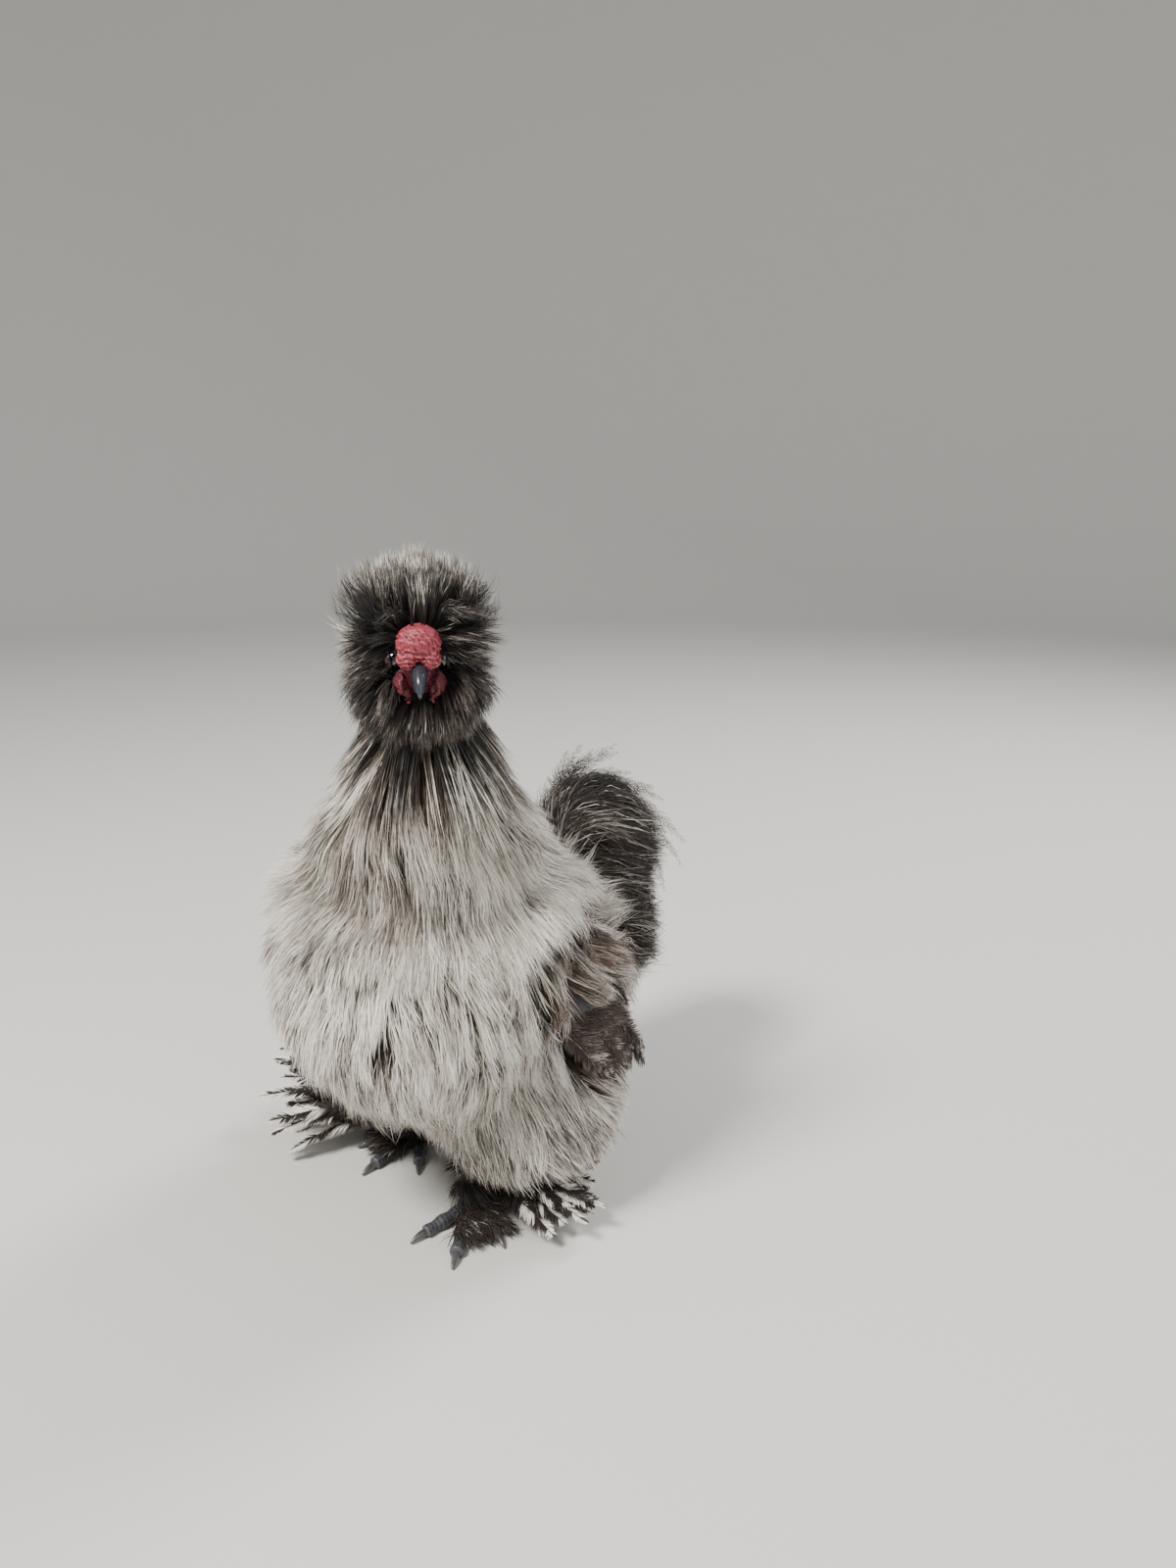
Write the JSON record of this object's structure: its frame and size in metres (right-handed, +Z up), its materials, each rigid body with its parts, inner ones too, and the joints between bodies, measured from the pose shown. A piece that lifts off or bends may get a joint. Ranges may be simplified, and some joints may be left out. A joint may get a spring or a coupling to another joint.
{
  "type": "silkie cockerel",
  "caption": "Life-size standing bearded silkie cockerel with a walnut comb, round crest, fluffy body, short wings and feathered feet.",
  "frame": {"origin": "middle of the bounding box, at floor level under the soles", "axes": "+Z up, the bird faces -Y, its own left is +X"},
  "size_m": [0.2506, 0.3, 0.3772],
  "materials": {
    "plumage_pale": "pale cream-grey silky plumage with fine dark streaks",
    "plumage_grey": "mid grey silky fluff with pale tips",
    "plumage_head": "black-brown silky head feathers with grey-white tips",
    "plumage_dark": "brown-black feathers with fine pale hairs",
    "plumage_wing": "streaked grey wing feathers with black and white quills",
    "comb_skin": "pebbled, wrinkled pink-red comb skin, satin",
    "face_skin": "dark slate-purple bare skin",
    "leg_skin": "scaly dark slate leg skin",
    "horn": "blue-black horn, glossy, paler at the tips",
    "eye": "wet black eye"
  },
  "bodies": {
    "root": {"beard": "plumage_head", "bill_lower": "horn", "bill_upper": "horn", "claw_left_1": "horn", "claw_left_2": "horn", "claw_left_3": "horn", "claw_left_4": "horn", "claw_left_5": "horn", "claw_right_1": "horn", "claw_right_2": "horn", "claw_right_3": "horn", "claw_right_4": "horn", "claw_right_5": "horn", "comb": "comb_skin", "crest": "plumage_head", "eye_left": "eye", "eye_right": "eye", "foot_feathers_left": "plumage_dark", "foot_feathers_right": "plumage_dark", "foot_left": "leg_skin", "foot_right": "leg_skin", "head": "face_skin", "neck": "plumage_pale", "shank_left": "leg_skin", "shank_right": "leg_skin", "tail": "plumage_dark", "thigh_left": "plumage_grey", "thigh_right": "plumage_grey", "torso": "plumage_pale", "wattle_left": "comb_skin", "wattle_right": "comb_skin", "wing_left": "plumage_wing", "wing_right": "plumage_wing"}
  },
  "joints": []
}
